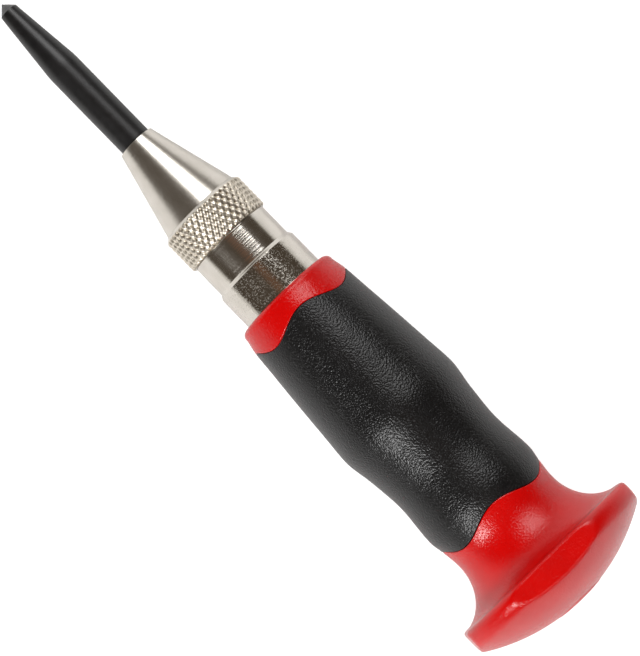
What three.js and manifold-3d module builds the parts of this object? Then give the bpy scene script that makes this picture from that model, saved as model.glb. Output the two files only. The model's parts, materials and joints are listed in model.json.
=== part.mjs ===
// Automatic center punch with a palm handle, lying on a bench. Millimetres, +Z up.
// The tool's axis runs along +X from the punch tip to the palm end. It dips towards the tip by the
// angle at which the knurled nose and one palm flat touch the bench together.
// A station is a distance along the axis from the tip. Profiles are lists of [radius, along].

import * as THREE from 'three';
import { mergeVertices } from 'three/addons/utils/BufferGeometryUtils.js';
import Module from 'manifold-3d';

const wasm = await Module();
wasm.setup();

// Fit
const GAP = 0.3; // clearance between pieces that touch, slide or screw together

// Punch point
const TIP_ANGLE = 90; // degrees, ground cone
const TIP_RADIUS = 2.0;
const TAPER_LENGTH = 15.5;
const SHANK_RADIUS = 3.5;
const POINT_REACH = 38.65; // tip to nose, tool at rest
const POINT_ENTRY = 6.5; // shank hidden in the nose
const STUD_RADIUS = 2.0;
const STUD_LENGTH = 5.0;

// Nose cone
const NOSE_LAND = 0.25; // width of the ring at the front of the cone
const NOSE_CONE_LENGTH = 18.45;
const NOSE_BORE_LENGTH = 10.5; // narrow bore, up to the inner shoulder
const NOSE_THREAD_LENGTH = 8.85;
const NOSE_WALL = 1.33; // over the thread
const KNURL_LENGTH = 8.2;
const KNURL_STEP = 0.97; // knurled band above the cone
const KNURL_FRONT_CHAMFER = 0.85;
const KNURL_REAR_CHAMFER = 0.45;

// Plunger, its pin and its stop
const COLLAR_RADIUS = 5.3;
const COLLAR_LENGTH = 6.4;
const STOP_WASHER_THICKNESS = 1.0;
const PIN_RADIUS = 1.3;
const PIN_SEAT = 5.0; // pin length inside the plunger
const STROKE = 11.0; // travel of the point before the hammer is let go
const STRIKE_GAP = 10.5; // plunger to hammer while the sear holds them apart

// Hammer and sear
const HAMMER_RADIUS = 5.0;
const HAMMER_HEAD_LENGTH = 8.0;
const SEAR_SETBACK = 6.0; // hammer face to the sear's slot
const SEAR_THICKNESS = 3.0; // along the axis
const SEAR_WIDTH = 4.4;
const SEAR_OFFSET = 1.2; // hole to axis at rest
const SEAR_TAIL = 2.9; // hole to inner end
const POCKET_DEPTH = 1.1; // sear spring's pocket below the slot

// Trip sleeve
const SLEEVE_WALL = 0.6; // at the wide end
const SLEEVE_LEAD = 0.2; // room over the sear at the wide end
const SLEEVE_GUIDE_LENGTH = 8.0; // parallel bore behind the taper

// Barrel
const SPIGOT_WALL = 1.6;
const BARREL_WALL = 2.06;
const BARREL_STEP = 0.61; // neck below the main diameter
const BARREL_NECK_LENGTH = 6.9;
const BARREL_SHOWN_LENGTH = 8.5; // step to the handle's collar
const BARREL_CHAMFER_LENGTH = 0.8;
const BARREL_CHAMFER_RISE = 0.55;

// Springs, their seat and the plug behind them
const MAIN_WIRE_RADIUS = 0.9;
const MAIN_SPRING_LENGTH = 26.0;
const MAIN_TURNS = 6.5;
const RETURN_WIRE_RADIUS = 0.5;
const RETURN_TURNS = 5.5;
const SEAR_WIRE_RADIUS = 0.18;
const SEAR_COIL_RADIUS = 0.85;
const SEAR_TURNS = 2;
const SPRING_WASHER_THICKNESS = 1.5;
const PLUG_LENGTH = 7.5;
const PLUG_RECESS = 0.5;
const PLUG_SLOT_WIDTH = 1.5;
const PLUG_SLOT_DEPTH = 1.6;
const HANDLE_PIN_RADIUS = 1.5;

// Handle core
const CORE_WALL = 1.64; // under the grip
const COLLAR_WALL = 1.74; // at the front of the red collar, over the barrel
const COLLAR_ROUND_LENGTH = 1.2;
const COLLAR_ROUND_RISE = 1.25;
const HANDLE_COLLAR_LENGTH = 5.75; // red collar in front of the grip's middle edge line
const NECK_LENGTH = 13.2; // grip's rear edge line to the palm head
const NECK_WALL = 0.9; // narrowest place, where the flare starts, over the grip's seat
const FLARE_LENGTH = 10.0;
const FLARE_LAND = 0.1; // flat ring between the flare and the palm flats
const HEAD_RADIUS = 23.8;
const HEAD_FLAT_DEPTH = 2.4; // cut from the round head on four sides
const HEAD_RIM = 3.55;
const DOME_RADIUS = 40.4;
const DISC_RADIUS = 5.5;
const DISC_THICKNESS = 1.0;
const DISC_SINK = 0.15; // disc face below the dome

// Grip, as walls over its seat on the core and places behind its front edge line
const GRIP_LENGTH = 53.75;
const GRIP_EDGE_WALL = 0.45;
const SWELL_AT = 20.95;
const SWELL_WALL = 2.23;
const BULGE_AT = 26.6;
const BULGE_WALL = 2.62;
const FLANK_AT = 33.2;
const FLANK_WALL = 1.75;
const WAIST_AT = 40.65;
const WAIST_WALL = 1.14;
const REAR_BULGE_AT = 49.6;
const REAR_BULGE_WALL = 1.75;
const GRIP_REAR_WALL = 1.31;
const GRIP_LOBES = 4; // waves of both grip edges round the handle
const GRIP_WAVE = 1.22; // each way from the edge line
const WAVE_FADE = 4.0; // distance over which the wave dies out

// Facets
const SHOWN_SIDES = 48;
const INNER_SIDES = 32;
const ARC_STEPS = 6;
const CURVE_STEPS = 3; // per stretch of the handle's outline
const COIL_STEPS = 8; // per turn
const WIRE_SIDES = 5;
const GAP_SAMPLES = 32; // per turn
const MERGE_TOLERANCE = 1e-4;

// Radii, from the inside out
const noseBore = SHANK_RADIUS + GAP;
const collarBore = COLLAR_RADIUS + GAP;
const spigotRadius = collarBore + SPIGOT_WALL;
const threadBore = spigotRadius + GAP;
const coneRearRadius = threadBore + NOSE_WALL;
const knurlRadius = coneRearRadius + KNURL_STEP;
const pinBore = PIN_RADIUS + GAP;
const guideBore = HAMMER_RADIUS + GAP;
const taperBore = guideBore + SEAR_OFFSET;
const leadBore = taperBore + SLEEVE_LEAD;
const sleeveRadius = leadBore + SLEEVE_WALL;
const barrelBore = sleeveRadius + GAP;
const boreFit = barrelBore - GAP;
const barrelRadius = barrelBore + BARREL_WALL;
const neckRadius = barrelRadius - BARREL_STEP;
const coreBore = barrelRadius + GAP;
const collarRadius = coreBore + COLLAR_WALL;
const gripSeat = coreBore + CORE_WALL;
const gripBore = gripSeat + GAP;
const headFlat = HEAD_RADIUS - HEAD_FLAT_DEPTH;
const flareStart = gripBore + NECK_WALL;
const flareRise = headFlat - flareStart - FLARE_LAND;

// Stations of the front end
const noseFront = POINT_REACH;
const coneRear = noseFront + NOSE_CONE_LENGTH;
const noseRear = coneRear + KNURL_LENGTH;
const noseShoulder = noseFront + NOSE_BORE_LENGTH;
const threadFront = noseRear - NOSE_THREAD_LENGTH;
const spigotFront = threadFront + GAP;
const neckFront = noseRear + GAP;
const barrelStep = neckFront + BARREL_NECK_LENGTH;
const collarFront = barrelStep + BARREL_SHOWN_LENGTH;

// Stations of the mechanism
const pointRear = noseFront + POINT_ENTRY;
const plungerFront = pointRear + GAP;
const stopFront = noseShoulder + GAP;
const plungerCollar = stopFront + STOP_WASHER_THICKNESS + GAP;
const plungerRear = plungerCollar + COLLAR_LENGTH;
const barrelShoulder = plungerRear + STROKE + GAP;
const hammerFront = plungerRear + STRIKE_GAP;
const slotFront = hammerFront + SEAR_SETBACK;
const searFront = slotFront + GAP;
const slotRear = searFront + SEAR_THICKNESS + GAP;
const sleeveFront = barrelShoulder + GAP;
const taperEnd = searFront + STROKE;
const sleeveRear = taperEnd + SLEEVE_GUIDE_LENGTH;
const headFront = sleeveRear + GAP;
const headRear = headFront + HAMMER_HEAD_LENGTH;
const mainSpringFront = headRear + GAP;
const springWasherFront = mainSpringFront + MAIN_SPRING_LENGTH + GAP;
const plugFront = springWasherFront + SPRING_WASHER_THICKNESS + GAP;
const plugRear = plugFront + PLUG_LENGTH;
const barrelRear = plugRear + PLUG_RECESS;
const handlePinAt = plugFront + PLUG_LENGTH / 2;

// Stations of the handle
const gripFront = collarFront + HANDLE_COLLAR_LENGTH;
const gripRear = gripFront + GRIP_LENGTH;
const headPlane = gripRear + NECK_LENGTH;
const rimRear = headPlane + HEAD_RIM;
const domeCentre = rimRear - Math.sqrt(DOME_RADIUS ** 2 - HEAD_RADIUS ** 2);
const discFloor = domeHeight(DISC_RADIUS) - DISC_THICKNESS;

// Taper of the trip sleeve, also the sear's sideways travel for each millimetre of stroke
const taperSlope = SEAR_OFFSET / STROKE;

// Finishes
const blackOxide = { color: 0x2a2829, roughness: 0.45, metalness: 0.7 };
const nickel = { color: 0xd6d0c6, roughness: 0.25, metalness: 1.0 };
const hardSteel = { color: 0x9a9a98, roughness: 0.35, metalness: 1.0 };
const springSteel = { color: 0x7d7f82, roughness: 0.4, metalness: 1.0 };
const nylon = { color: 0xe4e0d2, roughness: 0.6, metalness: 0.0 };
const redPlastic = { color: 0xd8100c, roughness: 0.45, metalness: 0.0 };
const blackRubber = { color: 0x232323, roughness: 0.8, metalness: 0.0 };

function domeHeight(radius) {
  return domeCentre + Math.sqrt(DOME_RADIUS ** 2 - radius ** 2);
}

// Solid of revolution whose profile starts and ends on the axis, front first
function lathe(profile, sides) {
  const outline = profile.map(([radius, along]) => new THREE.Vector2(radius, along));
  return new THREE.LatheGeometry(outline, sides);
}

// Solid of revolution with a through bore: front inner edge, outside, rear inner edge
function tube(profile, sides) {
  return lathe([...profile, profile[0]], sides);
}

// Points of an elliptic arc in a profile; angles are from the radial direction towards the rear
function arc(centreRadius, centreAlong, reachOut, reachAlong, fromDegrees, toDegrees) {
  const points = [];
  for (let step = 0; step <= ARC_STEPS; step += 1) {
    const degrees = fromDegrees + ((toDegrees - fromDegrees) * step) / ARC_STEPS;
    const angle = THREE.MathUtils.degToRad(degrees);
    points.push([centreRadius + reachOut * Math.cos(angle), centreAlong + reachAlong * Math.sin(angle)]);
  }
  return points;
}

// Arc of the palm dome from one radius inwards to another
function domeArc(fromRadius, toRadius, sink) {
  const points = [];
  for (let step = 0; step <= ARC_STEPS; step += 1) {
    const radius = fromRadius + ((toRadius - fromRadius) * step) / ARC_STEPS;
    points.push([radius, domeHeight(radius) - sink]);
  }
  return points;
}

function toSolid(geometry) {
  const bare = geometry.clone();
  bare.deleteAttribute('normal');
  bare.deleteAttribute('uv');
  const merged = mergeVertices(bare, MERGE_TOLERANCE);
  const corners = merged.index.array;
  const triangles = [];
  for (let first = 0; first < corners.length; first += 3) {
    const [a, b, c] = corners.slice(first, first + 3);
    if (a !== b && b !== c && c !== a) {
      triangles.push(a, b, c);
    }
  }
  const vertProperties = new Float32Array(merged.attributes.position.array);
  const triVerts = new Uint32Array(triangles);
  return new wasm.Manifold(new wasm.Mesh({ numProp: 3, vertProperties, triVerts }));
}

function toGeometry(solid) {
  const mesh = solid.getMesh();
  const geometry = new THREE.BufferGeometry();
  geometry.setAttribute('position', new THREE.BufferAttribute(mesh.vertProperties, 3));
  geometry.setIndex(new THREE.BufferAttribute(mesh.triVerts, 1));
  return geometry;
}

function cut(geometry, ...cutters) {
  const solid = cutters.reduce((rest, cutter) => rest.subtract(toSolid(cutter)), toSolid(geometry));
  return toGeometry(solid);
}

function common(geometry, limit) {
  return toGeometry(toSolid(geometry).intersect(toSolid(limit)));
}

// Round bar across the tool, along local X
function crossBar(radius, length, middle, along) {
  const bar = new THREE.CylinderGeometry(radius, radius, length, INNER_SIDES);
  bar.rotateZ(Math.PI / 2);
  bar.translate(middle, along, 0);
  return bar;
}

// Box given by its ends across the tool and along it, centred on the axis the other way
function crossBox(fromX, toX, fromAlong, toAlong, width) {
  const box = new THREE.BoxGeometry(toX - fromX, toAlong - fromAlong, width);
  box.translate((fromX + toX) / 2, (fromAlong + toAlong) / 2, 0);
  return box;
}

class Helix extends THREE.Curve {
  constructor(radius, length, turns) {
    super();
    this.radius = radius;
    this.length = length;
    this.turns = turns;
  }

  getPoint(t, target = new THREE.Vector3()) {
    const angle = 2 * Math.PI * this.turns * t;
    return target.set(this.radius * Math.cos(angle), this.length * t, this.radius * Math.sin(angle));
  }
}

// Least distance between turns, measured on points at least half a turn apart
function leastGap(path, wireRadius) {
  const points = path.getPoints(Math.round(path.turns * GAP_SAMPLES));
  let least = Infinity;
  points.forEach((point, index) => {
    points.slice(index + GAP_SAMPLES / 2).forEach((other) => {
      least = Math.min(least, point.distanceTo(other));
    });
  });
  return least - 2 * wireRadius;
}

// Coil spring from its front end, with its outside length
function coil(label, coilRadius, wireRadius, turns, length) {
  const path = new Helix(coilRadius, length - 2 * wireRadius, turns);
  const section = new THREE.Shape();
  section.setFromPoints(new THREE.EllipseCurve(0, 0, wireRadius, wireRadius).getPoints(WIRE_SIDES).slice(1));
  const steps = Math.round(turns * COIL_STEPS);
  const wire = new THREE.ExtrudeGeometry(section, { steps, extrudePath: path, bevelEnabled: false });
  wire.translate(0, wireRadius, 0);
  console.log(`${label}: least gap between turns ${leastGap(path, wireRadius).toFixed(2)} mm`);
  return wire;
}

// Four lobes of the grip's edges point to the tip where the palm flats are
function waveGripEdges(geometry) {
  const place = geometry.attributes.position;
  for (let index = 0; index < place.count; index += 1) {
    const radius = Math.hypot(place.getX(index), place.getZ(index));
    const along = place.getY(index);
    const fromEdge = Math.min(Math.abs(along - gripFront), Math.abs(along - gripRear));
    const share = THREE.MathUtils.clamp(1 - (fromEdge - GAP) / WAVE_FADE, 0, 1);
    if (radius > gripSeat - GAP / 2 && share > 0) {
      const angle = Math.atan2(place.getX(index), place.getZ(index));
      place.setY(index, along - GRIP_WAVE * share * Math.cos(GRIP_LOBES * angle));
    }
  }
  return geometry;
}

// Outline that collar, grip and neck share, as one smooth curve through its places
const outlinePlaces = [
  [collarRadius, collarFront + COLLAR_ROUND_LENGTH],
  [gripBore + GRIP_EDGE_WALL, gripFront],
  [gripBore + SWELL_WALL, gripFront + SWELL_AT],
  [gripBore + BULGE_WALL, gripFront + BULGE_AT],
  [gripBore + FLANK_WALL, gripFront + FLANK_AT],
  [gripBore + WAIST_WALL, gripFront + WAIST_AT],
  [gripBore + REAR_BULGE_WALL, gripFront + REAR_BULGE_AT],
  [gripBore + GRIP_REAR_WALL, gripRear],
  [flareStart, headPlane - FLARE_LENGTH],
];
const FRONT_EDGE_PLACE = 1;
const REAR_EDGE_PLACE = 7;

// Mean slope of the outline between a numbered place and the next
function meanSlope(place) {
  const [radius, along] = outlinePlaces[place];
  const [nextRadius, nextAlong] = outlinePlaces[place + 1];
  return (nextRadius - radius) / (nextAlong - along);
}

// Slope of the outline at a place, level where it is widest, narrowest or ends
function slopeAt(place) {
  if (place === 0) {
    return meanSlope(0);
  }
  if (place === outlinePlaces.length - 1) {
    return 0;
  }
  const before = meanSlope(place - 1);
  const after = meanSlope(place);
  return before * after > 0 ? (2 * before * after) / (before + after) : 0;
}

// Points of the shared outline from one numbered place to another
function outlineBetween(fromPlace, toPlace) {
  const points = [outlinePlaces[fromPlace]];
  for (let place = fromPlace; place < toPlace; place += 1) {
    const start = new THREE.Vector2(...outlinePlaces[place]);
    const end = new THREE.Vector2(...outlinePlaces[place + 1]);
    const third = (end.y - start.y) / 3;
    const leave = new THREE.Vector2(start.x + slopeAt(place) * third, start.y + third);
    const arrive = new THREE.Vector2(end.x - slopeAt(place + 1) * third, end.y - third);
    const curve = new THREE.CubicBezierCurve(start, leave, arrive, end);
    points.push(...curve.getPoints(CURVE_STEPS).slice(1).map(({ x, y }) => [x, y]));
  }
  return points;
}

function punchPoint() {
  const tipLength = TIP_RADIUS / Math.tan(THREE.MathUtils.degToRad(TIP_ANGLE / 2));
  return lathe([
    [0, 0],
    [TIP_RADIUS, tipLength],
    [SHANK_RADIUS, tipLength + TAPER_LENGTH],
    [SHANK_RADIUS, pointRear],
    [STUD_RADIUS, pointRear],
    [STUD_RADIUS, pointRear + STUD_LENGTH],
    [0, pointRear + STUD_LENGTH],
  ], SHOWN_SIDES);
}

function noseCone() {
  return tube([
    [noseBore, noseFront],
    [noseBore + NOSE_LAND, noseFront],
    [coneRearRadius, coneRear],
    [knurlRadius - KNURL_FRONT_CHAMFER, coneRear],
    [knurlRadius, coneRear + KNURL_FRONT_CHAMFER],
    [knurlRadius, noseRear - KNURL_REAR_CHAMFER],
    [knurlRadius - KNURL_REAR_CHAMFER, noseRear],
    [threadBore, noseRear],
    [threadBore, threadFront],
    [collarBore, threadFront],
    [collarBore, noseShoulder],
    [noseBore, noseShoulder],
  ], SHOWN_SIDES);
}

function stopWasher() {
  return tube([
    [noseBore, stopFront],
    [COLLAR_RADIUS, stopFront],
    [COLLAR_RADIUS, stopFront + STOP_WASHER_THICKNESS],
    [noseBore, stopFront + STOP_WASHER_THICKNESS],
  ], INNER_SIDES);
}

function plunger() {
  const socketEnd = pointRear + STUD_LENGTH + GAP;
  const pinSeatEnd = plungerRear - PIN_SEAT;
  return lathe([
    [0, socketEnd],
    [STUD_RADIUS + GAP, socketEnd],
    [STUD_RADIUS + GAP, plungerFront],
    [SHANK_RADIUS, plungerFront],
    [SHANK_RADIUS, plungerCollar],
    [COLLAR_RADIUS, plungerCollar],
    [COLLAR_RADIUS, plungerRear],
    [pinBore, plungerRear],
    [pinBore, pinSeatEnd],
    [0, pinSeatEnd],
  ], INNER_SIDES);
}

function drivePin() {
  const front = plungerRear - PIN_SEAT + GAP;
  const rear = searFront - GAP;
  return lathe([[0, front], [PIN_RADIUS, front], [PIN_RADIUS, rear], [0, rear]], INNER_SIDES);
}

function returnSpring() {
  const coilRadius = HAMMER_RADIUS - 2 * RETURN_WIRE_RADIUS;
  const length = STRIKE_GAP - 2 * GAP;
  const wire = coil('return_spring', coilRadius, RETURN_WIRE_RADIUS, RETURN_TURNS, length);
  return wire.translate(0, plungerRear + GAP, 0);
}

function barrel() {
  const body = tube([
    [collarBore, spigotFront],
    [spigotRadius, spigotFront],
    [spigotRadius, neckFront],
    [neckRadius, neckFront],
    [neckRadius, barrelStep],
    [barrelRadius - BARREL_CHAMFER_RISE, barrelStep],
    [barrelRadius, barrelStep + BARREL_CHAMFER_LENGTH],
    [barrelRadius, barrelRear],
    [barrelBore, barrelRear],
    [barrelBore, barrelShoulder],
    [collarBore, barrelShoulder],
  ], SHOWN_SIDES);
  return cut(body, handlePinHole());
}

function hammer() {
  const boreEnd = slotRear + STRIKE_GAP + GAP;
  const body = lathe([
    [0, boreEnd],
    [pinBore, boreEnd],
    [pinBore, hammerFront],
    [HAMMER_RADIUS, hammerFront],
    [HAMMER_RADIUS, headFront],
    [boreFit, headFront],
    [boreFit, headRear],
    [0, headRear],
  ], INNER_SIDES);
  const slotBottom = -SEAR_TAIL - GAP;
  const slot = crossBox(slotBottom, boreFit, slotFront, slotRear, SEAR_WIDTH + 2 * GAP);
  const pocketRadius = SEAR_COIL_RADIUS + SEAR_WIRE_RADIUS + GAP;
  const pocketMiddle = slotBottom - POCKET_DEPTH / 2 + GAP / 2;
  const pocket = crossBar(pocketRadius, POCKET_DEPTH + GAP, pocketMiddle, (slotFront + slotRear) / 2);
  return cut(body, slot, pocket);
}

// Slide with a hole for the drive pin; its outer end leans with the trip sleeve's taper
function sear() {
  const searRear = searFront + SEAR_THICKNESS;
  const plate = crossBox(-SEAR_TAIL, HAMMER_RADIUS + GAP, searFront, searRear, SEAR_WIDTH);
  const rearRadius = HAMMER_RADIUS - SEAR_THICKNESS * taperSlope;
  const cone = lathe([
    [0, searFront - GAP],
    [HAMMER_RADIUS + GAP * taperSlope, searFront - GAP],
    [rearRadius - GAP * taperSlope, searRear + GAP],
    [0, searRear + GAP],
  ], SHOWN_SIDES);
  const hole = lathe([
    [0, searFront - GAP],
    [pinBore, searFront - GAP],
    [pinBore, searRear + GAP],
    [0, searRear + GAP],
  ], INNER_SIDES);
  return cut(common(plate, cone), hole).translate(SEAR_OFFSET, 0, 0);
}

function searSpring() {
  const pocketBottom = -SEAR_TAIL - GAP - POCKET_DEPTH;
  const length = SEAR_OFFSET - SEAR_TAIL - GAP - (pocketBottom + GAP);
  const wire = coil('sear_spring', SEAR_COIL_RADIUS, SEAR_WIRE_RADIUS, SEAR_TURNS, length);
  wire.rotateZ(-Math.PI / 2);
  return wire.translate(pocketBottom + GAP, (slotFront + slotRear) / 2, 0);
}

function tripSleeve() {
  const taperFront = searFront - SLEEVE_LEAD / taperSlope;
  return tube([
    [leadBore, sleeveFront],
    [sleeveRadius, sleeveFront],
    [sleeveRadius, sleeveRear],
    [guideBore, sleeveRear],
    [guideBore, taperEnd],
    [leadBore, taperFront],
  ], SHOWN_SIDES);
}

function mainSpring() {
  const coilRadius = boreFit - 2 * MAIN_WIRE_RADIUS + GAP;
  const wire = coil('main_spring', coilRadius, MAIN_WIRE_RADIUS, MAIN_TURNS, MAIN_SPRING_LENGTH);
  return wire.translate(0, mainSpringFront, 0);
}

function springWasher() {
  const rear = springWasherFront + SPRING_WASHER_THICKNESS;
  return tube([
    [pinBore, springWasherFront],
    [boreFit, springWasherFront],
    [boreFit, rear],
    [pinBore, rear],
  ], INNER_SIDES);
}

function rearPlug() {
  const body = lathe([[0, plugFront], [boreFit, plugFront], [boreFit, plugRear], [0, plugRear]], INNER_SIDES);
  const slot = crossBox(-barrelBore, barrelBore, plugRear - PLUG_SLOT_DEPTH, plugRear + GAP, PLUG_SLOT_WIDTH);
  return cut(body, slot, handlePinHole());
}

function handlePinHole() {
  return crossBar(HANDLE_PIN_RADIUS + GAP, 2 * gripBore, 0, handlePinAt);
}

function handlePin() {
  return crossBar(HANDLE_PIN_RADIUS, 2 * gripSeat, 0, handlePinAt);
}

function handleCore() {
  const boreEnd = barrelRear + GAP;
  const roundAt = [collarRadius - COLLAR_ROUND_RISE, collarFront + COLLAR_ROUND_LENGTH];
  const flareAt = [flareStart + flareRise, headPlane - FLARE_LENGTH];
  const body = lathe([
    [0, boreEnd],
    [coreBore, boreEnd],
    [coreBore, collarFront],
    ...arc(...roundAt, COLLAR_ROUND_RISE, COLLAR_ROUND_LENGTH, -90, 0),
    ...outlineBetween(0, FRONT_EDGE_PLACE).slice(1),
    [gripSeat, gripFront],
    [gripSeat, gripRear],
    ...outlineBetween(REAR_EDGE_PLACE, outlinePlaces.length - 1),
    ...arc(...flareAt, flareRise, FLARE_LENGTH, 180, 90).slice(1),
    [HEAD_RADIUS, headPlane],
    ...domeArc(HEAD_RADIUS, DISC_RADIUS + GAP, 0),
    [DISC_RADIUS + GAP, discFloor - GAP],
    [0, discFloor - GAP],
  ], SHOWN_SIDES);
  const length = domeHeight(0) - collarFront;
  const flats = new THREE.BoxGeometry(2 * headFlat, 2 * length, 2 * headFlat);
  flats.translate(0, collarFront + length, 0);
  return cut(common(waveGripEdges(body), flats), handlePinHole());
}

function endDisc() {
  return lathe([
    [0, discFloor],
    [DISC_RADIUS, discFloor],
    ...domeArc(DISC_RADIUS, 0, DISC_SINK),
  ], INNER_SIDES);
}

function gripSleeve() {
  const outside = outlineBetween(FRONT_EDGE_PLACE, REAR_EDGE_PLACE);
  const [frontRadius] = outside.shift();
  const [rearRadius] = outside.pop();
  const body = tube([
    [gripBore, gripFront + GAP],
    [frontRadius, gripFront + GAP],
    ...outside,
    [rearRadius, gripRear - GAP],
    [gripBore, gripRear - GAP],
  ], SHOWN_SIDES);
  return waveGripEdges(body);
}

// The tool's own axis is local Y of this group, and local Z faces up
const tool = new THREE.Group();
tool.rotation.z = -Math.PI / 2;

function add(name, geometry, finish) {
  const mesh = new THREE.Mesh(geometry, new THREE.MeshStandardMaterial(finish));
  mesh.name = name;
  tool.add(mesh);
}

add('punch_point', punchPoint(), blackOxide);
add('nose_cone', noseCone(), nickel);
add('stop_washer', stopWasher(), nylon);
add('plunger', plunger(), hardSteel);
add('drive_pin', drivePin(), hardSteel);
add('return_spring', returnSpring(), springSteel);
add('barrel', barrel(), nickel);
add('hammer', hammer(), hardSteel);
add('sear', sear(), hardSteel);
add('sear_spring', searSpring(), springSteel);
add('trip_sleeve', tripSleeve(), hardSteel);
add('main_spring', mainSpring(), springSteel);
add('spring_washer', springWasher(), hardSteel);
add('rear_plug', rearPlug(), hardSteel);
add('handle_pin', handlePin(), hardSteel);
add('handle_core', handleCore(), redPlastic);
add('end_disc', endDisc(), redPlastic);
add('grip_sleeve', gripSleeve(), blackRubber);

// Lay the tool on its knurled nose and a palm flat, and stand its box on the origin
const layAngle = Math.atan2(headFlat - knurlRadius, headPlane - coneRear - KNURL_FRONT_CHAMFER);
const punch = new THREE.Group();
punch.rotation.y = -layAngle;
punch.add(tool);
const box = new THREE.Box3().setFromObject(punch, true);
punch.position.set(-(box.min.x + box.max.x) / 2, -(box.min.y + box.max.y) / 2, -box.min.z);

const part = new THREE.Group();
part.add(punch);
export default part;
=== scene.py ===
# %% [markdown]
# # Automatic center punch with a palm handle
# The tool lies on a white bench and is seen from almost straight above. Inside its barrel a spring drives a
# hammer against the black point when the red palm head is pushed. This lesson loads the engineering model
# as a fixed frame, and builds a finer surface over each piece that shows, and over the springs. The other
# inner pieces keep their engineering shape and only get a finish.

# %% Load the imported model
import json
import math

import bmesh
import bpy
import numpy as np
from mathutils import Matrix, Vector


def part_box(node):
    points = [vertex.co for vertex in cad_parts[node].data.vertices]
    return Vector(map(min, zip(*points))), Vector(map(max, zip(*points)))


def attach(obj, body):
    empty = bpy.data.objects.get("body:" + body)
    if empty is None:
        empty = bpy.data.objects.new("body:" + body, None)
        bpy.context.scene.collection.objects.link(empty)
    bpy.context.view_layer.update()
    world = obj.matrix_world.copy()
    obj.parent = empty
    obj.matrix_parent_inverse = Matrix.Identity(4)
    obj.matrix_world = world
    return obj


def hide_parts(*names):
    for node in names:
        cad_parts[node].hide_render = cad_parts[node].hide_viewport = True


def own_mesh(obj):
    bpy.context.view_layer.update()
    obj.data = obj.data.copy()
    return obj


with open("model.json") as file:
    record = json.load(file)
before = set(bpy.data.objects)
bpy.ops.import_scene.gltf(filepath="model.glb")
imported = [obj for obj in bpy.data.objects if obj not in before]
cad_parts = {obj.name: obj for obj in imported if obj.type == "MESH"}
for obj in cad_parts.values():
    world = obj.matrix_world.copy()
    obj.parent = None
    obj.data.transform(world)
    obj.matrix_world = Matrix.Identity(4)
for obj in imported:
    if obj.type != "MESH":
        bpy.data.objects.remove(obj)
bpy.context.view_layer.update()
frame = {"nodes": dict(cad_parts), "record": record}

# %% [markdown]
# ## The tool's own axes
# The punch is a turned tool, so it is easiest to draw in its own axes: X along the tool from the tip, Y
# across, Z up from the bench. The tool leans, because it lies on its knurled nose and on one flat of the
# palm head. One matrix carries all pieces from these axes to the frame, and patterns follow the tool too.

# %% The tool's own axes
MM = 0.001
joints = {joint["name"]: joint for joint in frame["record"]["behaviour"]["joints"]}
axis = Vector(joints["plunger_slide"]["axis"]).normalized()
across = Vector((0, 1, 0))
upward = axis.cross(across)
on_axis = Vector(joints["nose_unscrew"]["pos_m"])
tip_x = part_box("punch_point")[0][0]
tip = on_axis + axis * (tip_x - on_axis.x) / axis.x
tool_axes = Matrix((axis, across, upward)).transposed().to_4x4()
tool_axes.translation = tip


def place(along, side=0.0, up=0.0):
    """A point of the frame, in metres, from millimetres in the tool's axes."""
    return tool_axes @ Vector((along * MM, side * MM, up * MM))


print("tip at", [round(value, 5) for value in tip])

# %% [markdown]
# ## Camera
# The camera stands above the tool and looks almost straight down. The rings of the nose bulge towards the
# tip and those of the palm head hardly at all, so the camera is over the rear of the grip. The axis runs
# from upper left to lower right of the picture. The lens follows from the picture's scale.

# %% Camera
PICTURE_LONG_SIDE = 656
PIXELS_PER_MM = 5.05
CAMERA_OVER = 139.4
CAMERA_SIDE = -36.0
CAMERA_HEIGHT = 780.0
AIM_ALONG = 90.67
AIM_SIDE = 0.4
AXIS_RIGHT = 0.69824
AXIS_DOWN = 0.71586
SENSOR_MM = 36.0

eye = place(CAMERA_OVER, CAMERA_SIDE, CAMERA_HEIGHT)
aim = place(AIM_ALONG, AIM_SIDE)
back = (eye - aim).normalized()
axis_in_picture = (axis - back * axis.dot(back)).normalized()
side_in_picture = back.cross(axis_in_picture)
right = axis_in_picture * AXIS_RIGHT + side_in_picture * AXIS_DOWN
above = side_in_picture * AXIS_RIGHT - axis_in_picture * AXIS_DOWN
camera = bpy.data.objects.new("camera", bpy.data.cameras.new("camera"))
camera.matrix_world = Matrix((right, above, back)).transposed().to_4x4()
camera.matrix_world.translation = eye
camera.data.sensor_width = SENSOR_MM
camera.data.lens = PIXELS_PER_MM * (eye - aim).length / MM * SENSOR_MM / PICTURE_LONG_SIDE
bpy.context.scene.collection.objects.link(camera)
bpy.context.scene.camera = camera
print("lens", round(camera.data.lens, 1), "mm")

# %% [markdown]
# ## Helpers for finishes
# A finish is a Principled shader with a few pattern nodes in front of it. One small function adds a node
# with its settings and links. Colours are written as sRGB hex values, as a paint program shows them, and
# turned to the linear values that shaders use. Patterns read the piece's own coordinates, in metres, so a
# pattern's scale is one over its real size. Most of a noise lies between 0.3 and 0.7, so the two tones of
# a noisy colour are put there.

# %% Helpers for finishes
NOISE_LOW = 0.3
NOISE_HIGH = 0.7


def linear(hex_colour):
    """An sRGB hex colour as linear red, green, blue and alpha."""
    values = [int(hex_colour[start:start + 2], 16) / 255 for start in (1, 3, 5)]
    return [v / 12.92 if v <= 0.04045 else ((v + 0.055) / 1.055) ** 2.4 for v in values] + [1.0]


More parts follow.
